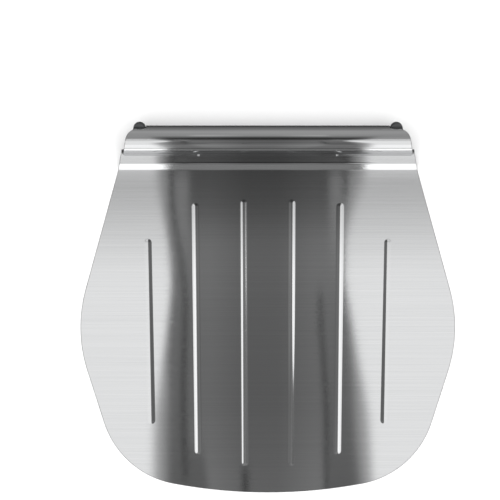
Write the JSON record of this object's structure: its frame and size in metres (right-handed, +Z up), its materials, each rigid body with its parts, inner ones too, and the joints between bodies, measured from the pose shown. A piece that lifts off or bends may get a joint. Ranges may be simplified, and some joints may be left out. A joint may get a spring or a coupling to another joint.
{
  "type": "cake lifter",
  "caption": "Wide flat stainless steel lifter for cake layers, with pressed stiffening beads, a stepped rear edge and a rolled tube handle closed by black plastic caps.",
  "frame": {"origin": "on the surface that the plate lies on, under the middle of the whole part's box", "axes": "+Z up out of the cake side, +Y from the front edge towards the rolled handle, +X to the right with the handle away from the viewer"},
  "size_m": [0.26, 0.2566, 0.0227],
  "materials": {
    "steel_sheet": "fine brushed, grain across the plate",
    "cap_plastic": "satin moulded"
  },
  "bodies": {
    "root": {"blade": "steel_sheet", "end_cap_left": "cap_plastic", "end_cap_right": "cap_plastic"}
  },
  "joints": []
}
